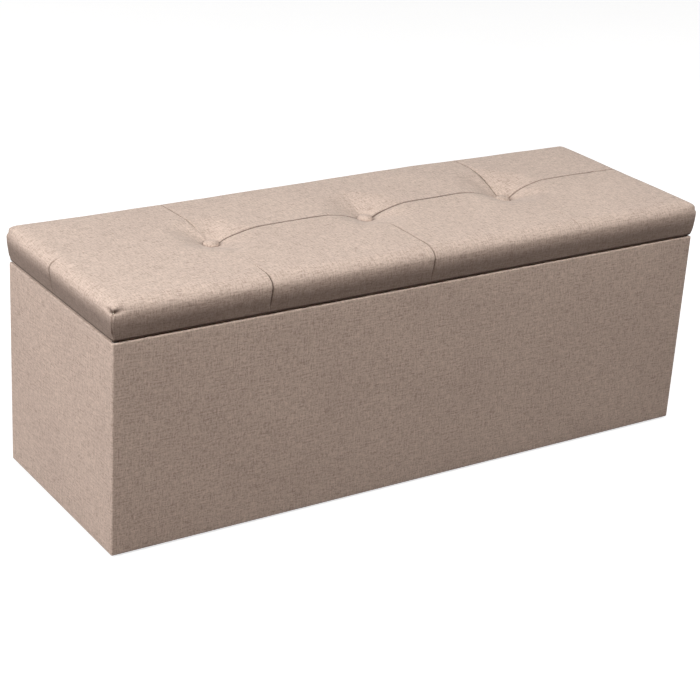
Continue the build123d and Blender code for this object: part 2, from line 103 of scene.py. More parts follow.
# How open each seam is, from 0 to 1: the left, middle and right cross seams along Y, the long seam along X.
CROSS_OPEN_Y = (-190, -130, -105, -60, -15, 15, 60, 100, 190)
CROSS_OPEN = ((1.0, 0.15, 0.05, 0.05, 0.05, 0.15, 0.15, 0.35, 1.0),
              (0.8, 0.9, 0.9, 0.4, 0.1, 0.15, 0.15, 0.15, 0.15),
              (0.2, 0.25, 0.1, 0.05, 0.1, 0.5, 0.8, 1.0, 0.9))
LONG_OPEN_X = (-577, -572, -558, -340, -300, -285, 300, 330, 576)
LONG_OPEN = (1.0, 0.7, 0.05, 0.05, 0.3, 1.0, 1.0, 0.6, 0.6)

DIMPLE_REACH = 50.0
DIMPLE_STEEP, DIMPLE_STEEP_REACH = 0.45, 0.32  # share that is steep beside the button, and its shorter reach
SEAT_LIFT, BUTTON_LIFT = 1.0, 1.3  # of the dimple's floor and of the button over the place in the frame
BUTTON_DOME = (  # share of the radius, and height
    (0.0, 7.2), (0.16, 7.16), (0.34, 6.95), (0.52, 6.5), (0.68, 5.8), (0.82, 4.7), (0.92, 3.4), (0.98, 2.1),
    (1.0, 1.1), (0.97, 0.1), (0.85, -0.6), (0.5, -0.8), (0.0, -0.8))
BUTTON_POINTS, BUTTON_GATHERS = 56, 14

PLEAT_HEIGHT, PLEAT_DEPTH = 49.0, 8.5  # the small dimple at each corner, where its pleat starts
PLEAT_CALM = 0.4  # share of that dimple at all corners but the front left one
CORNER_NEAR, SIDE_NEAR = -60.0, -12.0  # where the pleats may shape the cover

CLOTH_FRAMES, CLOTH_TIGHTENED = 20, 12  # the simulation's last frame, and the one where seams are closed
CLOTH_LIMIT = 6.0  # the farthest the simulation may move a point
CLOTH_SETTINGS = {"quality": 6, "mass": 0.35, "tension_stiffness": 30.0, "compression_stiffness": 30.0,
                  "shear_stiffness": 12.0, "bending_stiffness": 2.0, "air_damping": 4.0,
                  "use_pressure": True, "uniform_pressure_force": 3.0}
COVER_THICKNESS = 1.0
FOAM_INSET, FOAM_GAP, FOAM_BOTTOM = 1.4, 0.2, 3.0  # under the cover, round the board, over the lid's bottom
RECESS_REACH = 8.0  # points of the outline this near to a side are moved in for the recess
BAND_SHADE, END_SHADE = 0.54, 0.1  # how much painted shade darkens the cover low on its sides, and more so at both ends

# ---- the box's fabric ----
WALL_THICKNESS = 15.0
CLOTH = 1.2  # thickness of the box's fabric
CASE_CORNER = 3.5
HEM_TURN = 2.2  # radius of the turn under the bottom
INSIDE_HEM = 18.0  # how far the fabric comes down inside
WALL_ROWS, PATH_STEP, ARC_STEPS, TURN_STEPS = 44, 12.0, 8, 6
RIM_RADIUS = 1.7  # of the fabric's turn over the rim of the box


def smooth(x):
    """0 below 0, 1 above 1, and a smooth step between."""
    t = np.clip(x, 0.0, 1.0)
    return t * t * (3 - 2 * t)


def long_seam_y(x):
    """Where the long seam runs: through the buttons, and a little further back at both ends."""
    xs = [-HALF_L] + [b[0] for b in BUTTONS] + [HALF_L]
    left, right = LONG_SEAM_ENDS
    ys = [BUTTONS[0][1] + left] + [b[1] for b in BUTTONS] + [BUTTONS[2][1] + right]
    return np.interp(x, xs, ys)


def cross_seam_x(i, y):
    """Where cross seam i runs: straight, but for a small bend to its button."""
    bx, by, _ = BUTTONS[i]
    return CROSS_EDGES[i] + (bx - CROSS_EDGES[i]) * np.exp(-(((y - by) / SEAM_BEND) ** 2))


def noise_2d(x, y, seed, octaves=3):
    """Smooth value noise between -1 and 1, from a seeded lattice."""
    total, size = np.zeros_like(np.asarray(x, float)), 1.0
    rng = np.random.default_rng(seed)
    for _ in range(octaves):
        lattice = rng.uniform(-1, 1, (64, 64))
        u, v = np.asarray(x) / size, np.asarray(y) / size
        i, j = np.floor(u).astype(int), np.floor(v).astype(int)
        a, b = u - i, v - j
        a, b = a * a * (3 - 2 * a), b * b * (3 - 2 * b)
        pick = lambda p, q: lattice[p % 64, q % 64]
        row0 = pick(i, j) * (1 - a) + pick(i + 1, j) * a
        row1 = pick(i, j + 1) * (1 - a) + pick(i + 1, j + 1) * a
        total = total + (row0 * (1 - b) + row1 * b) * size
        size /= 2
    return total / (2 - 2 * size)


# ---- mesh helpers ----
def make_object(name, vertices_mm, faces, material, uv=None, smooth_shading=True):
    """A mesh object from millimetre points. uv holds each face corner's cloth coordinates."""
    mesh = bpy.data.meshes.new(name)
    mesh.from_pydata((np.asarray(vertices_mm) * MM).tolist(), [], [list(f) for f in faces])
    if uv is not None:
        layer = mesh.uv_layers.new(name="cloth")
        layer.data.foreach_set("uv", (np.asarray(uv, float) * MM).ravel())
    mesh.update()
    obj = bpy.data.objects.new(name, mesh)
    bpy.context.scene.collection.objects.link(obj)
    obj.data.materials.append(material)
    mesh.polygons.foreach_set("use_smooth", [smooth_shading] * len(mesh.polygons))
    return obj


def apply_modifiers(obj):
    """Bakes the modifiers into the mesh."""
    graph = bpy.context.evaluated_depsgraph_get()
    mesh = bpy.data.meshes.new_from_object(
        obj.evaluated_get(graph), preserve_all_data_layers=True, depsgraph=graph)
    obj.modifiers.clear()
    old, obj.data = obj.data, mesh
    bpy.data.meshes.remove(old)
    return obj


def weld(obj, distance=1e-6):
    """Joins points that lie on each other and drops faces with no area."""
    bm = bmesh.new()
    bm.from_mesh(obj.data)
    bmesh.ops.remove_doubles(bm, verts=bm.verts, dist=distance)
    bmesh.ops.dissolve_degenerate(bm, edges=bm.edges, dist=distance)
    bmesh.ops.recalc_face_normals(bm, faces=bm.faces)
    bm.to_mesh(obj.data)
    bm.free()
    return obj


def points_of(obj):
    co = np.zeros(len(obj.data.vertices) * 3)
    obj.data.vertices.foreach_get("co", co)
    return co.reshape(-1, 3) / MM


def normals_of(obj):
    no = np.zeros(len(obj.data.vertices) * 3)
    obj.data.vertices.foreach_get("normal", no)
    return no.reshape(-1, 3)


def set_points(obj, points_mm):
    obj.data.vertices.foreach_set("co", (points_mm * MM).ravel())
    obj.data.update()


def set_attribute(obj, name, values):
    attribute = obj.data.attributes.new(name, "FLOAT", "POINT")
    attribute.data.foreach_set("value", np.asarray(values, np.float32))


# ---- materials ----
class Shader:
    """A small builder for node materials."""

    def __init__(self, name, roughness=0.8, metallic=0.0, **sockets):
        self.material = bpy.data.materials.new(name)
        self.material.use_nodes = True
        self.tree = self.material.node_tree
        self.bsdf = self.tree.nodes["Principled BSDF"]
        self.bsdf.inputs["Roughness"].default_value = roughness
        self.bsdf.inputs["Metallic"].default_value = metallic
        for socket, value in sockets.items():
            self.bsdf.inputs[socket.replace("_", " ")].default_value = value

    def node(self, kind, inputs=None, **settings):
        made = self.tree.nodes.new(kind)
        for key, value in settings.items():
            setattr(made, key, value)
        for key, value in (inputs or {}).items():
            if isinstance(value, bpy.types.NodeSocket):
                self.tree.links.new(value, made.inputs[key])
            else:
                made.inputs[key].default_value = value
        return made

    def math(self, operation, a, b=0.0, c=0.0):
        return self.node("ShaderNodeMath", {0: a, 1: b, 2: c}, operation=operation).outputs[0]

    def vector_math(self, operation, inputs):
        return self.node("ShaderNodeVectorMath", inputs, operation=operation).outputs[0]

    def coordinates(self, uv=None):
        """The mesh's cloth coordinates, or the object's own, in metres."""
        if uv:
            return self.node("ShaderNodeUVMap", uv_map=uv).outputs["UV"]
        return self.node("ShaderNodeTexCoord").outputs["Object"]

    def scaled(self, vector, x, y, z):
        return self.node("ShaderNodeMapping", {"Vector": vector, "Scale": (x, y, z)}).outputs[0]

    def noise(self, vector, scale=1.0, detail=2.0, roughness=0.5, distortion=0.0):
        inputs = {"Vector": vector, "Scale": scale, "Detail": detail, "Roughness": roughness,
                  "Distortion": distortion}
        return self.node("ShaderNodeTexNoise", inputs).outputs[0]

    def ramp(self, factor, *stops):
        made = self.node("ShaderNodeValToRGB", {"Fac": factor})
        while len(made.color_ramp.elements) < len(stops):
            made.color_ramp.elements.new(0.5)
        for element, (place, colour) in zip(made.color_ramp.elements, stops):
            element.position = place
            element.color = (*colour, 1.0)
        return made.outputs["Color"]

    def mix(self, factor, a, b, blend="MIX"):
        made = self.node("ShaderNodeMix", data_type="RGBA", blend_type=blend)
        for index, value in ((0, factor), (6, a), (7, b)):
            if isinstance(value, bpy.types.NodeSocket):
                self.tree.links.new(value, made.inputs[index])
            else:
                made.inputs[index].default_value = value if index == 0 else (*value, 1.0)
        return made.outputs[2]

    def to(self, socket, value):
        self.tree.links.new(value, self.bsdf.inputs[socket])

    def bump(self, height, strength, distance, normal=None):
        inputs = {"Height": height, "Strength": strength, "Distance": distance}
        if normal is not None:
            inputs["Normal"] = normal
        return self.node("ShaderNodeBump", inputs).outputs[0]


THREAD = 0.85  # mm between threads
LINEN_LIGHT, LINEN_MID, LINEN_DARK = (0.69, 0.555, 0.475), (0.565, 0.448, 0.379), (0.38, 0.29, 0.24)
# the third colour is painted shade, laid into seams, folds, button rims, the turn under the lid and the lid's
# lower sides
FLECK, GAP, PAINTED_SHADE = (0.30, 0.235, 0.20), (0.27, 0.205, 0.165), (0.07, 0.042, 0.03)


def linen(name, seams=False):
    """Woven upholstery linen: two sets of uneven threads, slubs, flecks and faint cloudiness."""
    s = Shader(name, roughness=0.9, Sheen_Weight=0.12, Sheen_Roughness=0.5, Specular_IOR_Level=0.25)
    place = s.coordinates("cloth")
    wobble = s.node("ShaderNodeTexNoise", {"Vector": place, "Scale": 60.0, "Detail": 2.0}).outputs["Color"]
    centred = s.vector_math("SUBTRACT", {0: wobble, 1: (0.5, 0.5, 0.5)})
    shift = s.vector_math("SCALE", {0: centred, "Scale": 0.0012})
    cloth = s.vector_math("ADD", {0: place, 1: shift})
    split = s.node("ShaderNodeSeparateXYZ", {0: cloth})
    across = math.pi / (THREAD * MM)
    warp, weft = (s.math("SINE", s.math("MULTIPLY", split.outputs[i], across)) for i in (0, 1))
    weave = s.math("MULTIPLY_ADD", s.math("MULTIPLY", warp, weft), 0.5, 0.5)

    def both_ways(first, second, **settings):
        """The mean of two noises stretched along and across the cloth."""
        noises = [s.noise(s.scaled(cloth, *scale, 1.0), **settings) for scale in (first, second)]
        return s.math("MULTIPLY_ADD", s.math("ADD", *noises), 0.5, 0.0)

    threads = both_ways((470.0, 75.0), (62.0, 450.0), detail=3.0, roughness=0.65)
    slubs = both_ways((260.0, 30.0), (26.0, 280.0), detail=2.0)
    melange = s.noise(s.scaled(cloth, 330.0, 330.0, 1.0), detail=2.0, roughness=0.6)
    tone = s.math("ADD", s.math("MULTIPLY", threads, 0.54), s.math("MULTIPLY", slubs, 0.2))
    tone = s.math("ADD", tone, s.math("MULTIPLY", melange, 0.26))
    colour = s.ramp(tone, (0.415, LINEN_DARK), (0.50, LINEN_MID), (0.582, LINEN_LIGHT))
    flecks = s.noise(s.scaled(cloth, 900.0, 900.0, 1.0), detail=1.0)
    colour = s.mix(s.math("MULTIPLY", s.math("GREATER_THAN", flecks, 0.68), 0.35), colour, FLECK)
    colour = s.mix(s.math("MULTIPLY", s.math("SUBTRACT", 1.0, weave), 0.22), colour, GAP)
    clouds = s.noise(place, scale=7.0, detail=3.0)
    clouds = s.ramp(clouds, (0.30, (0.955, 0.95, 0.95)), (0.70, (1.03, 1.03, 1.025)))
    colour = s.mix(1.0, colour, clouds, "MULTIPLY")
    if seams:
        # painted shade: the seam attribute darkens the cloth in seams, folds, round the buttons, under the
        # lid and low on its sides
        seam = s.node("ShaderNodeAttribute", attribute_name="seam").outputs["Fac"]
        colour = s.mix(s.math("MULTIPLY", seam, 0.93), colour, PAINTED_SHADE)
    s.to("Base Color", colour)
    s.to("Roughness", s.math("MULTIPLY_ADD", tone, 0.2, 0.78))
    s.to("Normal", s.bump(weave, 0.45, 0.00022, s.bump(tone, 0.9, 0.0014)))
    return s.material


def non_woven():
    """Thin black spun cloth with a pressed grid of dots."""
    s = Shader("non_woven_black", roughness=0.95, Specular_IOR_Level=0.2)
    place = s.coordinates()
    fibres = s.noise(s.scaled(place, 900.0, 900.0, 900.0), detail=4.0, roughness=0.7, distortion=1.5)
    inputs = {"Vector": place, "Scale": 520.0, "Randomness": 0.12}
    dots = s.node("ShaderNodeTexVoronoi", inputs).outputs["Distance"]
    pressed = s.math("LESS_THAN", dots, 0.24)
    s.to("Base Color", s.ramp(fibres, (0.35, (0.012, 0.012, 0.013)), (0.7, (0.042, 0.041, 0.042))))
    s.to("Roughness", s.math("SUBTRACT", 0.97, s.math("MULTIPLY", pressed, 0.3)))
    height = s.math("SUBTRACT", fibres, s.math("MULTIPLY", pressed, 0.6))
    s.to("Normal", s.bump(height, 0.6, 0.0003))
    return s.material


def wood(name, light, dark, along, rings):
    """Planed wood or the edge-grain look of ply, with its grain along X or Y."""
    s = Shader(name, roughness=0.6, Specular_IOR_Level=0.3)
    place = s.coordinates()
    stretch = (0.08, 1.0, 1.0) if along == "x" else (1.0, 0.08, 1.0)
    grain_place = s.scaled(place, *stretch)
    inputs = {"Vector": grain_place, "Scale": rings, "Distortion": 5.0, "Detail": 3.0, "Detail Scale": 1.6}
    wave = s.node("ShaderNodeTexWave", inputs, bands_direction="Z").outputs[0]
    pores = s.noise(s.scaled(grain_place, 1400.0, 1400.0, 1400.0), detail=3.0)
    tone = s.math("ADD", s.math("MULTIPLY", wave, 0.7), s.math("MULTIPLY", pores, 0.3))
    s.to("Base Color", s.ramp(tone, (0.2, light), (0.85, dark)))
    s.to("Roughness", s.math("MULTIPLY_ADD", pores, 0.25, 0.45))
    s.to("Normal", s.bump(tone, 0.25, 0.0003))
    return s.material


def fibreboard():
    """Raw fibreboard: even brown with fine fibres."""
    s = Shader("fibreboard", roughness=0.85, Specular_IOR_Level=0.25)
    place = s.coordinates()
    fibres = s.noise(place, scale=700.0, detail=5.0, roughness=0.75, distortion=2.0)
    clouds = s.noise(place, scale=18.0, detail=2.0)
    tone = s.math("ADD", s.math("MULTIPLY", fibres, 0.75), s.math("MULTIPLY", clouds, 0.25))
    s.to("Base Color", s.ramp(tone, (0.32, (0.25, 0.165, 0.095)), (0.68, (0.44, 0.31, 0.19))))
    s.to("Normal", s.bump(fibres, 0.35, 0.0003))
    return s.material


def foam():
    """Cream open-cell foam."""
    s = Shader("foam", roughness=0.95, Subsurface_Weight=0.1, Subsurface_Scale=0.004)
    place = s.coordinates()
    cells = s.node("ShaderNodeTexVoronoi", {"Vector": place, "Scale": 650.0}).outputs["Distance"]
    clouds = s.noise(place, scale=30.0)
    s.to("Base Color", s.mix(clouds, (0.80, 0.74, 0.55), (0.88, 0.83, 0.66)))
    s.to("Normal", s.bump(cells, 0.8, 0.0008))
    return s.material


def zinc():
    """Bright zinc plating on pressed steel."""
    s = Shader("zinc_plated_steel", roughness=0.34, metallic=1.0)
    place = s.coordinates()
    spangle = s.node("ShaderNodeTexVoronoi", {"Vector": place, "Scale": 420.0}).outputs["Color"]
    grey = s.node("ShaderNodeSeparateColor", {0: spangle}).outputs[0]
    streaks = s.noise(s.scaled(place, 900.0, 60.0, 60.0), detail=3.0)
    s.to("Base Color", s.mix(grey, (0.60, 0.61, 0.62), (0.72, 0.72, 0.72)))
    s.to("Roughness", s.math("MULTIPLY_ADD", streaks, 0.28, 0.2))
    s.to("Normal", s.bump(streaks, 0.12, 0.0001))
    return s.material


def moulded(name, low, high, roughness, grain):
    """Moulded plastic or rubber with a fine grain."""
    s = Shader(name, roughness=roughness, Specular_IOR_Level=0.4)
    place = s.coordinates()
    speckle = s.noise(place, scale=grain, detail=3.0)
    s.to("Base Color", s.mix(speckle, low, high))
    s.to("Roughness", s.math("MULTIPLY_ADD", speckle, 0.2, roughness - 0.1))
    s.to("Normal", s.bump(speckle, 0.2, 0.0002))
    return s.material


def twine():
    """Waxed twine, twisted."""
    s = Shader("waxed_twine", roughness=0.6, Sheen_Weight=0.2)
    place = s.coordinates()
    inputs = {"Vector": place, "Scale": 320.0, "Distortion": 0.5}
    twist = s.node("ShaderNodeTexWave", inputs, bands_direction="DIAGONAL").outputs[0]
    s.to("Base Color", s.mix(twist, (0.48, 0.40, 0.29), (0.70, 0.62, 0.49)))
    s.to("Normal", s.bump(twist, 0.5, 0.0003))
    return s.material


# ---- the cushion ----
def lines_between(a, b, fine_a, fine_b):
    """Grid lines from a to b, close together beside each end that is a seam or a corner."""
    corner = [TOP_CORNER * i / CORNER_CELLS for i in range(CORNER_CELLS + 1)]
    fine = {"seam": SEAM_CELLS, "corner": corner}
    start, end = fine[fine_a], fine[fine_b]
    low, high = a + start[-1], b - end[-1]
    count = max(2, round((high - low) / CELL))
    middle = [low + (high - low) * i / count for i in range(1, count)]
    return [a + d for d in start] + middle + [b - d for d in reversed(end)]


def ring_profile():
    """(outward offset, height, corner radius) of the rings, from the top down to the hem's edge."""
    rings = []
    for i in range(1, ROLL_STEPS + 1):
        t = math.pi / 2 * i / ROLL_STEPS
        d = BULGE - ROLL + ROLL * math.sin(t) ** (2 / SQUARENESS)
        h = BULGE_HEIGHT + (EDGE_HEIGHT - BULGE_HEIGHT) * max(math.cos(t), 0.0) ** (2 / SQUARENESS)
        rings.append((d, h, TOP_CORNER + (SIDE_CORNER - TOP_CORNER) * i / ROLL_STEPS))
    for h in (*BAND_HEIGHTS, FOLD):
        share = (BULGE_HEIGHT - h) / (BULGE_HEIGHT - FOLD)
        radius = SIDE_CORNER + (BOTTOM_CORNER - SIDE_CORNER) * smooth(share)
        tuck = 1.5 * (share**1.8 - share**2.7 / 3)
        rings.append((BULGE + (FOOT - BULGE) * tuck, h, radius))
    for angle in (30, 60, 90):
        a = math.radians(angle)
        rings.append((FOOT - FOLD * (1 - math.cos(a)), FOLD * (1 - math.sin(a)), BOTTOM_CORNER))
    turned, hem = FOLD - FOOT, HALF_L - HEM_EDGE[0]
    for share in (0.15, 0.3, 0.5, 0.75, 1.0):
        rings.append((-turned - (hem - turned) * share, 0.0, BOTTOM_CORNER * (1 - share)))
    return rings


class Cushion:
    """The seat cover's sheet: a grid over the top, going on as rings down the sides and under the board."""

    def __init__(self):
        self.a0 = HALF_L + BULGE - ROLL
        self.b0 = HALF_D + BULGE - ROLL
        corner, seam = "corner", "seam"
        stops = [-self.a0, *CROSS_EDGES, self.a0]
        kinds = [corner, seam, seam, seam, corner]
        xs = []
        for i in range(4):
            xs += lines_between(stops[i], stops[i + 1], kinds[i], kinds[i + 1])[: None if i == 3 else -1]
        ys = lines_between(-self.b0, 0.0, corner, seam)[:-1] + lines_between(0.0, self.b0, seam, corner)
        self.xs, self.ys = np.array(xs), np.array(ys)
        self.nx, self.ny = len(xs) - 1, len(ys) - 1
        self.rings = ring_profile()
        self.build()

    def corner_share(self, value, half):
        """How far into a corner's square a coordinate lies: 0 outside, 1 at the edge, with its sign."""
        inside = half - TOP_CORNER
        return np.sign(value) * np.clip((np.abs(value) - inside) / TOP_CORNER, 0, 1)

    def top_point(self, x, y):
        """A grid point on the top, with its corner squares pressed round."""
        a, b = self.corner_share(x, self.a0), self.corner_share(y, self.b0)
        if a and b:
            x = math.copysign(self.a0 - TOP_CORNER, x) + TOP_CORNER * a * math.sqrt(1 - b * b / 2)
            y = math.copysign(self.b0 - TOP_CORNER, y) + TOP_CORNER * b * math.sqrt(1 - a * a / 2)
        near = 1 - min(abs(y) / self.b0, 1) ** 2
        beside = 1 - min(abs(x) / self.a0, 1) ** 4
        y_moved = self.with_long_seam(x, y)
        shift = 0.0
        for i, edge in enumerate(CROSS_EDGES):
            shift += (cross_seam_x(i, y_moved) - edge) * math.exp(-abs(x - edge) / SHIFT_REACH)
        return x + shift * near * beside, y_moved

    def with_long_seam(self, x, y):
        """Moves y so that the grid line of the long seam follows it."""
        return y + long_seam_y(x) * (1 - min(abs(y) / self.b0, 1) ** 2) * math.exp(-abs(y) / SHIFT_REACH)

    def border(self):
        """The grid's edge points in order round the top, each with the side it belongs to."""
        nx, ny = self.nx, self.ny
        loop = [(i, 0) for i in range(nx)] + [(nx, j) for j in range(ny)]
        return loop + [(i, ny) for i in range(nx, 0, -1)] + [(0, j) for j in range(ny, 0, -1)]

    def ring_point(self, i, j, d, radius):
        """Where border point (i, j) lies on a ring that stands d outside the box, with this corner radius."""
        x, y = self.xs[i], self.ys[j]
        a, b = HALF_L + d, HALF_D + d
        share_x, share_y = self.corner_share(x, self.a0), self.corner_share(y, self.b0)
        if share_x and share_y:
            px, py = share_x * math.sqrt(1 - share_y**2 / 2), share_y * math.sqrt(1 - share_x**2 / 2)
            cx, cy = math.copysign(a - radius, x), math.copysign(b - radius, y)
            return cx + radius * px, cy + radius * py
        if j in (0, self.ny):
            return self.slide(x, self.a0 - TOP_CORNER, a - radius), math.copysign(b, y)
        return math.copysign(a, x), self.slide(self.with_long_seam(x, y), self.b0 - TOP_CORNER, b - radius)

    @staticmethod
    def slide(value, start, end, reach=100.0):
        """Spreads the points near a corner so that a straight side that ended at start ends at end."""
        share = float(smooth((abs(value) - start + reach) / reach))
        return value + math.copysign((end - start) * share, value)

    def build(self):
        nx, ny = self.nx, self.ny
        grid = [[self.top_point(x, y) for x in self.xs] for y in self.ys]
        points = [(px, py, EDGE_HEIGHT) for row in grid for px, py in row]
        loop = self.border()
        top_index = [j * (nx + 1) + i for i, j in loop]
        previous = top_index
        faces, uvs = [], []
        for j in range(ny):
            for i in range(nx):
                k = j * (nx + 1) + i
                face = (k, k + 1, k + nx + 2, k + nx + 1)
                faces.append(face)
                uvs += [points[v][:2] for v in face]
        run, before = 0.0, (BULGE - ROLL, EDGE_HEIGHT)
        for d, h, radius in self.rings:
            run_next = run + math.hypot(d - before[0], h - before[1])
            ring = []
            for i, j in loop:
                x, y = self.ring_point(i, j, d, radius)
                ring.append(len(points))
                points.append((x, y, h))
            for n in range(len(loop)):
                m = (n + 1) % len(loop)
                face = (previous[n], ring[n], ring[m], previous[m])
                faces.append(face)
                side = self.side_of(loop[n], loop[m])
                for v, r in zip(face, (run, run_next, run_next, run)):
                    uvs.append(self.cloth_place(points[v], side, r))
            previous, run, before = ring, run_next, (d, h)
        self.points, self.faces, self.uvs = np.array(points), faces, uvs
        self.loop_length = len(loop)
        self.top_count = (nx + 1) * (ny + 1)

    def side_of(self, p, q):
        """Which side a border edge belongs to; a corner's arc is shared at its middle."""
        if p[1] == q[1]:
            return "front" if p[1] == 0 else "back"
        return "right" if p[0] else "left"

    def cloth_place(self, point, side, run):
        """Cloth coordinates of a side's point: the sheet laid flat, the side going on from the top."""
        x, y, _ = point
        if side in ("front", "back"):
            return x, math.copysign(self.b0 + run, y)
        return math.copysign(self.a0 + run, x), y


def seam_distances(points):
    """Distances to the nearest cross seam and to the long seam, and how open those are there."""
    x, y = points[:, 0], points[:, 1]
    distances = np.array([np.abs(x - cross_seam_x(i, y)) for i in range(3)])
    openness = np.array([np.interp(y, CROSS_OPEN_Y, values) for values in CROSS_OPEN])
    nearest = distances.argmin(axis=0)
    pick = np.arange(len(x))
    cross, cross_open = distances[nearest, pick], openness[nearest, pick]
    return cross, np.abs(y - long_seam_y(x)), cross_open, np.interp(x, LONG_OPEN_X, LONG_OPEN)


def inside_of_top(x, y):
    """How far a point of the top lies from the start of the roll."""
    return np.minimum(HALF_L + BULGE - ROLL - np.abs(x), HALF_D + BULGE - ROLL - np.abs(y)).clip(0)


def plush_shape(points, normals):
    """The padded form before it is sewn: crowned, and a little uneven."""
    x, y, h = points.T
    inside = inside_of_top(x, y)
    on_top = smooth((h - EDGE_HEIGHT + 8.0) / 8.0)
    uneven = UNEVEN * noise_2d(x / UNEVEN_SIZE, y / UNEVEN_SIZE, 11) * smooth(h / 20)
    beside = np.exp(-(((x - BACK_RISE_X) / BACK_RISE_WIDTH) ** 2))
    uneven += BACK_RISE * beside * smooth((y + 40) / 150) * smooth((h - 34) / 24)
    plush = points + normals * (CROWN * (1 - np.exp(-inside / CROWN_REACH)) * on_top + uneven)[:, None]
    for axis, half, other, other_half in ((0, HALF_L, 1, HALF_D), (1, HALF_D, 0, HALF_L)):
        to_corner = np.clip(other_half + BULGE - np.abs(points[:, other]), 0, None)
        proud = np.clip(np.abs(plush[:, axis]) - half, 0, None)
        loss = CORNER_LOSS * np.exp(-to_corner / CORNER_LOSS_REACH)
        plush[:, axis] -= np.sign(points[:, axis]) * proud * loss
    return plush


def sewn_shape(points, plush, normals):
    """Draws in the seams, sinks the buttons and folds the corners."""
    x, y, h = points.T
    on_top = h > EDGE_HEIGHT - 4.0
    inside = inside_of_top(x, y)
    cross, along, cross_open, long_open = seam_distances(points)
    lower = smooth((h - 1.0) / 14.0)
    depth = SEAM_DEPTH + SEAM_DEPTH_INSIDE * (1 - np.exp(-inside / 50.0))

    def either(reach, cross_weight, long_weight):
        """How close the nearer seam is, over this reach."""
        return np.maximum(cross_weight * np.exp(-cross / reach), long_weight * np.exp(-along / reach))

    soft = either(SEAM_REACH, 0.2 + 0.8 * cross_open, 0.2 + 0.8 * long_open)
    edge = either(EDGE_REACH, cross_open, long_open)
    groove = either(GROOVE_REACH, cross_open, long_open)
    pucker = 1 + 0.2 * np.sin((x + y) / 2.1) + 0.3 * noise_2d(x / 9, y / 9, 3)
    sink = depth * soft + EDGE_DEPTH * edge + GROOVE_DEPTH * groove * pucker
    shaped = plush - normals * (sink * lower)[:, None]
    for bx, by, bz in BUTTONS:
        r, angle = np.hypot(x - bx, y - by), np.arctan2(y - by, x - bx)
        reach = DIMPLE_REACH * (1 + 0.10 * np.sin(5 * angle + bx) + 0.06 * np.sin(9 * angle + 2))
        outside = np.clip(r - BUTTON_RADIUS, 0, None)
        steep = DIMPLE_STEEP * np.cos(angle) ** 4
        near = np.exp(-outside / (DIMPLE_STEEP_REACH * reach))
        share = (1 - steep) * np.exp(-outside / reach) + steep * near
        crease = 0.8 * np.sin(11 * angle + bx) * np.exp(-(((r - BUTTON_RADIUS - 10.0) / 9.0) ** 2))
        seat = bz - LID_BOTTOM + SEAT_LIFT
        target = shaped[:, 2] * (1 - share) + seat * share + crease
        target[r < BUTTON_RADIUS + 1.0] = seat
        shaped[on_top, 2] = np.minimum(target, shaped[:, 2] + 0.5)[on_top]
    return shaped - normals * corner_pleat(points)[:, None]


def corner_pleat(points):
    """Depth of the folds at the corners: a dimple, and below it a slit with a flap."""
    x, y, h = points.T
    reach = np.maximum(np.abs(x) - HALF_L, np.abs(y) - HALF_D)
    turn = (np.abs(y) - HALF_D) - (np.abs(x) - HALF_L)
    near_corner = (np.minimum(np.abs(x) - HALF_L, np.abs(y) - HALF_D) > CORNER_NEAR) & (reach > SIDE_NEAR)
    softer = np.where((y > 0) | (x > 0), PLEAT_CALM, 1.0)
    dimple = PLEAT_DEPTH * softer * np.exp(-((turn / 15.0) ** 2) - ((h - PLEAT_HEIGHT) / 4.0) ** 2)
    crease = 1.2 * np.exp(-((turn / 4.0) ** 2)) * smooth((PLEAT_HEIGHT - h) / 4.0)
    slit = 2.6 * np.exp(-(((turn + 3.0) / 1.5) ** 2)) * smooth((26.0 - h) / 8.0)
    flap = -1.3 * np.exp(-(((turn - 3.5) / 4.5) ** 2)) * smooth((32.0 - h) / 12.0)
    return (dimple + crease + slit + flap) * near_corner * smooth((h - 1.0) / 6.0)


def swell(obj, pinned, sewn, may_move):
    """Cloth simulation: the cover swells while its seams are drawn in. Returns its points."""
    obj.shape_key_add(name="plush")
    key = obj.shape_key_add(name="sewn")
    key.data.foreach_set("co", (sewn * MM).ravel())
    key.value = 0.0
    key.keyframe_insert("value", frame=1)
    key.value = 1.0
    key.keyframe_insert("value", frame=CLOTH_TIGHTENED)
    group = obj.vertex_groups.new(name="pinned")
    group.add([int(i) for i in np.flatnonzero(pinned)], 1.0, "REPLACE")
    cloth = obj.modifiers.new("cloth", "CLOTH")
    for name, value in CLOTH_SETTINGS.items():
        setattr(cloth.settings, name, value)
    cloth.settings.vertex_group_mass = group.name
    cloth.settings.effector_weights.gravity = 0.0
    cloth.collision_settings.use_collision = False
    cloth.point_cache.frame_start, cloth.point_cache.frame_end = 1, CLOTH_FRAMES
    scene = bpy.context.scene
    for frame_number in range(1, CLOTH_FRAMES + 1):
        scene.frame_set(frame_number)
    graph = bpy.context.evaluated_depsgraph_get()
    swollen = points_of(obj.evaluated_get(graph))
    obj.modifiers.clear()
    obj.shape_key_clear()
    obj.vertex_groups.clear()
    scene.frame_set(1)
    moved = swollen - sewn
    length = np.linalg.norm(moved, axis=1, keepdims=True)
    return sewn + moved * np.minimum(1.0, may_move[:, None] / np.maximum(length, 1e-6))


def painted_button_shade(points):
    """Painted shade round the buttons: all round the rim a little, and most at its two front corners."""
    dark = np.zeros(len(points))
    for bx, by, _ in BUTTONS:
        x, y = points[:, 0] - bx, points[:, 1] - by
        rim = np.exp(-(((np.hypot(x, y) - BUTTON_RADIUS - 0.5) / 2.6) ** 2))
        dark = np.maximum(dark, 0.35 * rim)
        for middle in (math.radians(165), math.radians(-48)):
            turn = np.abs((np.arctan2(y, x) - middle + math.pi) % (2 * math.pi) - math.pi)
            dark = np.maximum(dark, rim * np.exp(-((turn / 0.5) ** 2)))
    return dark * (points[:, 2] > EDGE_HEIGHT - 1.0)


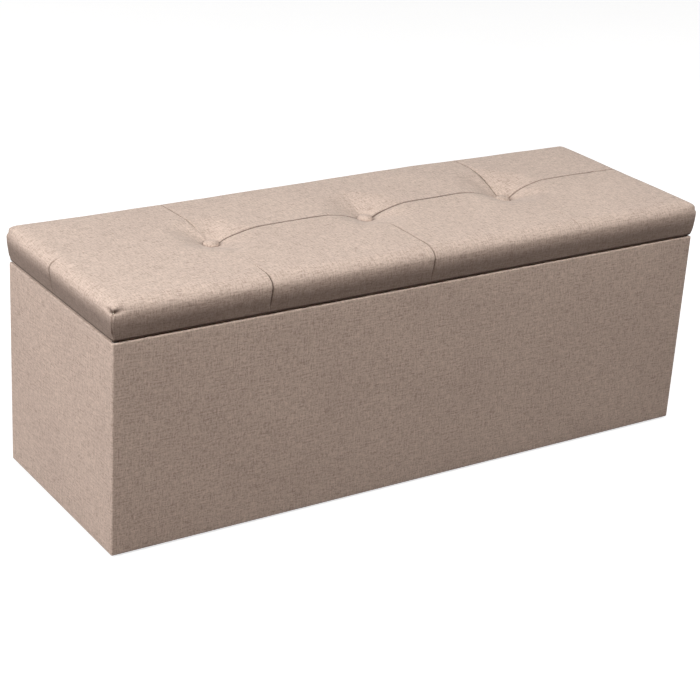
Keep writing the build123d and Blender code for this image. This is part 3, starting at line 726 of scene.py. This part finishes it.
def painted_cover_shade(points):
    """Painted shade on the cover: in seams and folds, round the buttons, in the turn under the lid and low on
    its sides.
    """
    height = points[:, 2]
    cross, along, cross_open, long_open = seam_distances(points)
    # painted shade along the seams, where their grooves lie
    thin, thick = np.exp(-((cross / 1.0) ** 2)), np.exp(-((along / 1.7) ** 2))
    line = np.maximum(cross_open * thin, long_open * thick) * smooth((height - 1.0) / 6.0)
    # painted shade in the corner folds
    folds = np.clip(corner_pleat(points) / PLEAT_DEPTH * 2.3 - 0.4, 0, 1)
    # painted shade in the turn under the lid's board, where the gap is
    painted_turn_shade = smooth((height - 0.1) / 0.6) * smooth((4.2 - height) / 1.4)
    # painted shade low on the lid's sides, more so at both ends
    at_end = smooth((np.abs(points[:, 0]) - HALF_L + 4.0) / 4.0)
    shade = (BAND_SHADE + END_SHADE * at_end) * smooth((46.0 + 6.0 * at_end - height) / 28.0)
    shade *= smooth((height - 1.0) / 2.0)
    return np.maximum.reduce([line, 0.9 * painted_button_shade(points), folds, painted_turn_shade, shade])


def build_cushion(material):
    """The seat cover, shaped and swollen, and the sheet it was made from."""
    sheet = Cushion()
    obj = make_object("seat_cover_fabric", sheet.points, sheet.faces, material, sheet.uvs)
    flat = sheet.points
    normals = normals_of(obj)
    plush = plush_shape(flat, normals)
    shaped = sewn_shape(flat, plush, normals)
    lift = np.array([0.0, 0.0, LID_BOTTOM])
    cross, along, cross_open, long_open = seam_distances(flat)
    at_button = np.min([np.hypot(flat[:, 0] - bx, flat[:, 1] - by) for bx, by, _ in BUTTONS], axis=0)
    at_seam = ((cross < 0.6) & (cross_open > 0.15)) | ((along < 0.6) & (long_open > 0.15))
    pinned = at_seam | (at_button < BUTTON_RADIUS + 1.0) | (flat[:, 2] < FOLD + 4.0)
    pinned |= np.abs(corner_pleat(flat)) > 0.8
    set_points(obj, plush + lift)
    may_move = CLOTH_LIMIT * (0.15 + 0.85 * smooth((at_button - BUTTON_RADIUS) / 90.0))
    may_move *= 0.15 + 0.85 * smooth((flat[:, 2] - 36.0) / 24.0)
    shaped = swell(obj, pinned, shaped + lift, may_move) - lift
    set_points(obj, shaped + lift)
    # the seam attribute holds painted shade, which the cover's linen reads as colour
    set_attribute(obj, "seam", painted_cover_shade(flat))
    return obj, sheet


def finish_cushion(obj):
    """One subdivision, then the cloth's thickness."""
    subdivide = obj.modifiers.new("subdivide", "SUBSURF")
    subdivide.levels = subdivide.render_levels = 1
    thick = obj.modifiers.new("thickness", "SOLIDIFY")
    thick.thickness = COVER_THICKNESS * MM
    thick.offset = -1.0
    apply_modifiers(obj)
    return obj


def recess_point(x, y):
    """A point of the box's outline, moved in to the wall of the recess that holds the board."""
    in_x, in_y = HALF_L - BOARD_HIGH[0] - FOAM_GAP, HALF_D - BOARD_HIGH[1] - FOAM_GAP
    moved_x = x - math.copysign(in_x, x) if abs(x) > HALF_L - RECESS_REACH else x
    return moved_x, y - math.copysign(in_y, y) if abs(y) > HALF_D - RECESS_REACH else y


def build_foam(sheet, cover_points, cover_normals, material):
    """The padding under the cover, with the board's recess below."""
    loop = sheet.loop_length
    side_rings = sum(height > FOAM_BOTTOM for _, height, _ in sheet.rings)
    count = sheet.top_count + loop * side_rings
    points = cover_points[:count] - cover_normals[:count] * FOAM_INSET
    faces = [f for f in sheet.faces if max(f) < count]
    last = list(range(count - loop, count))
    rings = []
    for z in (points[last, 2].mean(), BOARD_HIGH[2] + FOAM_GAP):
        start = len(points)
        recess = [recess_point(*sheet.ring_point(i, j, 0.0, 1.0)) for i, j in sheet.border()]
        points = np.vstack([points, [(x, y, z) for x, y in recess]])
        rings.append(list(range(start, start + loop)))
    for upper, lower in ((last, rings[0]), (rings[0], rings[1])):
        for n in range(loop):
            m = (n + 1) % loop
            faces.append((upper[n], lower[n], lower[m], upper[m]))
    faces.append(tuple(rings[1]))
    obj = make_object("foam_padding", points, faces, material)
    bm = bmesh.new()
    bm.from_mesh(obj.data)
    bmesh.ops.triangulate(bm, faces=[f for f in bm.faces if len(f.verts) > 4])
    bmesh.ops.recalc_face_normals(bm, faces=bm.faces)
    bm.to_mesh(obj.data)
    bm.free()
    return obj


# ---- the box's fabric ----
SIDES = ("front", "right", "back", "left")  # in order round the box, seen from above
CORNERS = ((1, -1), (1, 1), (-1, 1), (-1, -1))  # the corner at the end of each side


def rounded_path():
    """Points round the box: (side, place along it, None), or (side, None, angle in the corner after it)."""
    path = []
    for turn, side in enumerate(SIDES):
        half = (HALF_D if turn % 2 else HALF_L) - CASE_CORNER
        count = round(2 * half / PATH_STEP)
        forward = 1 if side in ("front", "right") else -1
        path += [(turn, forward * (2 * half * i / count - half), None) for i in range(count + 1)]
        path += [(turn, None, math.pi / 2 * i / ARC_STEPS) for i in range(1, ARC_STEPS)]
    return path


def path_point(item, d):
    """A path point on the outline that stands d outside the box, and the outward direction there."""
    turn, straight, angle = item
    normal_angle = (turn - 1) * math.pi / 2
    inset = min(CASE_CORNER + d, 0.0)
    limit_x, limit_y = HALF_L - CASE_CORNER + inset, HALF_D - CASE_CORNER + inset
    if straight is not None:
        nx, ny = round(math.cos(normal_angle)), round(math.sin(normal_angle))
        if nx:
            return nx * (HALF_L + d), max(-limit_y, min(limit_y, straight)), nx, ny
        return max(-limit_x, min(limit_x, straight)), ny * (HALF_D + d), nx, ny
    nx, ny = math.cos(normal_angle + angle), math.sin(normal_angle + angle)
    reach = max(CASE_CORNER + d, 0.0)
    return CORNERS[turn][0] * limit_x + nx * reach, CORNERS[turn][1] * limit_y + ny * reach, nx, ny


def quarter(centre_d, centre_h, radius, start):
    """(offset, height) points of a quarter turn: 0 degrees is outward, 90 is up."""
    angles = [math.radians(start + 90 * i / TURN_STEPS) for i in range(1, TURN_STEPS + 1)]
    return [(centre_d + radius * math.cos(a), centre_h + radius * math.sin(a)) for a in angles]


def wall_profile():
    """(offset, height) of the fabric: outside from the hem up and over the rim, then back inside it."""
    bottom, top = CASE_LOW[2], CASE_HIGH[2]
    rim = HALF_L - PANEL_HIGH[0] + WALL_THICKNESS + CLOTH
    hem = HALF_L - DUST_HIGH[0]
    outer = [(-hem, bottom), (-hem * 0.6, bottom), (-6.0, bottom), (-3.0, bottom)]
    outer += quarter(-HEM_TURN, bottom + HEM_TURN, HEM_TURN, -90)
    straight = top - bottom - HEM_TURN - RIM_RADIUS
    outer += [(0.0, bottom + HEM_TURN + straight * i / WALL_ROWS) for i in range(1, WALL_ROWS + 1)]
    outer += quarter(-RIM_RADIUS, top - RIM_RADIUS, RIM_RADIUS, 0)
    outer += [(-6.0, top), (-11.0, top), (-rim + RIM_RADIUS, top)]
    outer += quarter(-rim + RIM_RADIUS, top - RIM_RADIUS, RIM_RADIUS, 90)
    outer += [(-rim, top - INSIDE_HEM / 2), (-rim, top - INSIDE_HEM)]
    inner = [(-rim + CLOTH, top - INSIDE_HEM), (-rim + CLOTH, top - CLOTH), (-CLOTH, top - CLOTH),
             (-CLOTH, bottom + CLOTH), (-hem, bottom + CLOTH)]
    return outer, inner


def billow(item, along, height, ny):
    """How far the fabric stands off its wall: softly uneven, and tight at the edges."""
    if item[1] is None:
        return 0.0
    to_corner = (HALF_L if ny else HALF_D) - CASE_CORNER - abs(item[1])
    fade = smooth((height - CASE_LOW[2]) / 30.0) * smooth((CASE_HIGH[2] - height) / 25.0)
    soft = noise_2d(along / 95.0, height / 80.0, 5) * 0.55 + 0.35
    soft += noise_2d(along / 30.0, height / 34.0, 8) * 0.12
    return float(soft * fade * smooth(to_corner / 30.0))


def build_case_fabric(material):
    """The fabric of the box as one turned-over wrap."""
    path = rounded_path()
    outer, inner = wall_profile()
    profile = outer + inner
    total, loop = len(profile), len(path)
    runs = np.concatenate([[0.0], np.cumsum(np.hypot(*np.diff(profile, axis=0).T))])
    outline = np.array([path_point(item, 0.0)[:2] for item in path])
    perimeter = np.concatenate([[0.0], np.cumsum(np.hypot(*np.diff(outline, axis=0).T))])
    points, faces, uvs = [], [], []
    for k, (d, h) in enumerate(profile):
        for item, along in zip(path, perimeter):
            x, y, nx, ny = path_point(item, d)
            if k < len(outer) and abs(d) < 0.01:
                off = billow(item, along, h, ny)
                x, y = x + nx * off, y + ny * off
            points.append((x, y, h))
    for k in range(total):
        k2 = (k + 1) % total
        v2 = runs[k2] if k2 else runs[k] + CLOTH
        for n in range(loop):
            m = (n + 1) % loop
            faces.append((k * loop + n, k * loop + m, k2 * loop + m, k2 * loop + n))
            first, here = points[k * loop], points[k * loop + n]
            end = perimeter[m] if m else perimeter[-1] + math.hypot(first[0] - here[0], first[1] - here[1])
            uvs += [(perimeter[n], runs[k]), (end, runs[k]), (end, v2), (perimeter[n], v2)]
    return weld(make_object("case_fabric", points, faces, material, uvs))


# ---- buttons ----
def build_button(name, place, material):
    """A fabric-covered button: a low dome whose cloth gathers at the rim."""
    bx, by, bz = place[0], place[1], place[2] + BUTTON_LIFT
    count, profile = BUTTON_POINTS, BUTTON_DOME[1:-1]
    rows = len(profile)
    points, faces, uvs = [], [], []
    for share, z in profile:
        for i in range(count):
            a = 2 * math.pi * i / count
            wave = math.sin(BUTTON_GATHERS * a + bx)
            r = BUTTON_RADIUS * share * (1 + 0.006 * wave * share**4)
            points.append((bx + r * math.cos(a), by + r * math.sin(a), bz + z + wave * 0.16 * share**8))
    points += [(bx, by, bz + BUTTON_DOME[0][1]), (bx, by, bz + BUTTON_DOME[-1][1])]
    top, bottom = rows * count, rows * count + 1
    for k in range(rows - 1):
        for i in range(count):
            j = (i + 1) % count
            faces.append((k * count + i, (k + 1) * count + i, (k + 1) * count + j, k * count + j))
    for i in range(count):
        j = (i + 1) % count
        faces.append((top, i, j))
        faces.append((bottom, (rows - 1) * count + j, (rows - 1) * count + i))
    for face in faces:
        uvs += [points[v][:2] for v in face]
    obj = make_object(name, points, faces, material, uvs)
    subdivide = obj.modifiers.new("subdivide", "SUBSURF")
    subdivide.levels = subdivide.render_levels = 1
    return apply_modifiers(obj)


# ---- camera, light and floor ----
CAMERA_PLACE = (-0.9703, -1.9581, 1.2508)  # from the box's front left bottom corner, in lengths of the box
CAMERA_TURN = (34.353, 23.190, 3.532)  # azimuth, elevation and roll in degrees
CAMERA_LENS = 94.74


def add_camera():
    """The photograph's view."""
    azimuth, elevation, roll = (math.radians(v) for v in CAMERA_TURN)
    forward = Vector((math.sin(azimuth) * math.cos(elevation), math.cos(azimuth) * math.cos(elevation),
                      -math.sin(elevation)))
    right = Vector((math.cos(azimuth), -math.sin(azimuth), 0.0))
    up = right.cross(forward)
    turned_right = right * math.cos(roll) + up * math.sin(roll)
    turned_up = up * math.cos(roll) - right * math.sin(roll)
    data = bpy.data.cameras.new("camera")
    data.sensor_width = 36.0
    data.lens = CAMERA_LENS
    camera = bpy.data.objects.new("camera", data)
    matrix = Matrix((turned_right, turned_up, -forward)).transposed().to_4x4()
    corner = np.array([-HALF_L, -HALF_D, CASE_LOW[2]])
    matrix.translation = Vector((corner + np.array(CAMERA_PLACE) * HALF_L * 2) * MM)
    camera.matrix_world = matrix
    bpy.context.scene.collection.objects.link(camera)
    bpy.context.scene.camera = camera


# Name, place, target, size, power and colour of each light.
LIGHTS = (
    ("top_light", (-0.2, -1.95, 3.1), (-0.2, -1.2, 0.0), (4.0, 0.9), 113, (1.0, 0.99, 0.975)),
    ("left_light", (-4.2, 0.4, 2.55), (0, 0, 0.3), (2.5, 3.0), 208, (1.0, 0.99, 0.99)),
    ("right_light", (4.5, 0.8, 2.2), (0, 0, 0.3), (2.5, 3.0), 35, (1.0, 0.985, 0.975)),
    ("back_light", (0.0, 4.5, 2.4), (0, 0, 0.3), (4.0, 2.5), 20, (1.0, 0.985, 0.975)),
)
FLOOR_SIZE = 40.0


def add_area(name, place, target, size, power, colour):
    data = bpy.data.lights.new(name, "AREA")
    data.shape = "RECTANGLE"
    data.size, data.size_y = size
    data.energy = power
    data.color = colour
    light = bpy.data.objects.new(name, data)
    light.location = place
    direction = Vector(target) - Vector(place)
    light.rotation_euler = direction.to_track_quat("-Z", "Y").to_euler()
    bpy.context.scene.collection.objects.link(light)


def add_floor():
    """A floor that looks nearly white to the camera but throws little light at the bench."""
    s = Shader("studio_floor", roughness=0.9, Specular_IOR_Level=0.1)
    grain = s.noise(s.coordinates(), scale=3.0, detail=2.0)
    pale = s.mix(grain, (0.43, 0.43, 0.43), (0.46, 0.46, 0.46))
    seen = s.node("ShaderNodeLightPath").outputs["Is Camera Ray"]
    s.to("Base Color", s.mix(seen, (0.10, 0.06, 0.045), pale))
    s.bsdf.inputs["Emission Color"].default_value = (1, 1, 1, 1)
    s.to("Emission Strength", s.math("MULTIPLY", seen, 0.76))
    half = FLOOR_SIZE / 2 / MM
    points = [(-half, -half, 0), (half, -half, 0), (half, half, 0), (-half, half, 0)]
    make_object("floor", points, [(0, 1, 2, 3)], s.material)


def add_world():
    """Faint light from all round, and a white backdrop for the camera."""
    world = bpy.data.worlds.new("studio")
    world.use_nodes = True
    tree = world.node_tree
    background = tree.nodes["Background"]
    place = tree.nodes.new("ShaderNodeTexCoord")
    split = tree.nodes.new("ShaderNodeSeparateXYZ")
    ramp = tree.nodes.new("ShaderNodeValToRGB")
    tree.links.new(place.outputs["Generated"], split.inputs[0])
    tree.links.new(split.outputs[2], ramp.inputs[0])
    low, high = ramp.color_ramp.elements
    low.position, low.color = 0.0, (0.25, 0.24, 0.23, 1)
    high.position, high.color = 0.5, (1.0, 1.0, 1.0, 1)
    seen = tree.nodes.new("ShaderNodeLightPath")
    mix = tree.nodes.new("ShaderNodeMix")
    mix.data_type = "RGBA"
    mix.inputs[7].default_value = (11.5, 11.5, 11.5, 1)
    tree.links.new(seen.outputs["Is Camera Ray"], mix.inputs[0])
    tree.links.new(ramp.outputs["Color"], mix.inputs[6])
    tree.links.new(mix.outputs[2], background.inputs["Color"])
    background.inputs["Strength"].default_value = 0.09
    bpy.context.scene.world = world


# ---- the scene ----
def dress_cad_nodes():
    """Gives every CAD node that stays its material."""
    lining, board, steel = non_woven(), fibreboard(), zinc()
    ply = wood("plywood", (0.62, 0.46, 0.29), (0.47, 0.32, 0.18), "x", 40.0)
    pine_x = wood("pine_along_x", (0.70, 0.50, 0.28), (0.52, 0.33, 0.16), "x", 90.0)
    pine_y = wood("pine_along_y", (0.70, 0.50, 0.28), (0.52, 0.33, 0.16), "y", 90.0)
    glide = moulded("glide_plastic", (0.018, 0.018, 0.019), (0.035, 0.035, 0.036), 0.5, 900.0)
    rubber = moulded("bumper_rubber", (0.02, 0.02, 0.02), (0.045, 0.044, 0.042), 0.75, 600.0)
    thread = twine()
    chosen = {"base_board": ply, "front_batten": pine_x, "back_batten": pine_x, "left_batten": pine_y,
              "right_batten": pine_y, "glides": glide, "lid_bumpers": rubber, "button_twines": thread,
              "lid_board": board, "dust_cover": lining}
    for name, node in NODES.items():
        material = chosen.get(name)
        if material is None and name.endswith("_lining"):
            material = lining
        if material is None and name.endswith("_panel"):
            material = board
        if material is None:
            material = steel
        node.data.materials.clear()
        node.data.materials.append(material)


def main():
    dress_cad_nodes()
    add_camera()
    add_floor()
    add_world()
    for light in LIGHTS:
        add_area(*light)
    scene = bpy.context.scene
    scene.view_settings.view_transform = "Standard"
    scene.cycles.use_denoising = True
    scene.cycles.denoising_input_passes = "RGB_ALBEDO_NORMAL"

    seat, sheet = build_cushion(linen("linen_cover", seams=True))
    padding = build_foam(sheet, points_of(seat), normals_of(seat), foam())
    finish_cushion(seat)
    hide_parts("seat_cover")
    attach(seat, "lid")
    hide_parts("foam_pad")
    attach(padding, "lid")

    case = build_case_fabric(linen("linen_case"))
    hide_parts("front_cover", "back_cover", "left_cover", "right_cover")
    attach(case, "case")

    button_cloth = linen("linen_button")
    for name, place in zip(BUTTON_NAMES, BUTTONS):
        button = build_button(name + "_fabric", place, button_cloth)
        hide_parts(name)
        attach(button, "lid")


main()
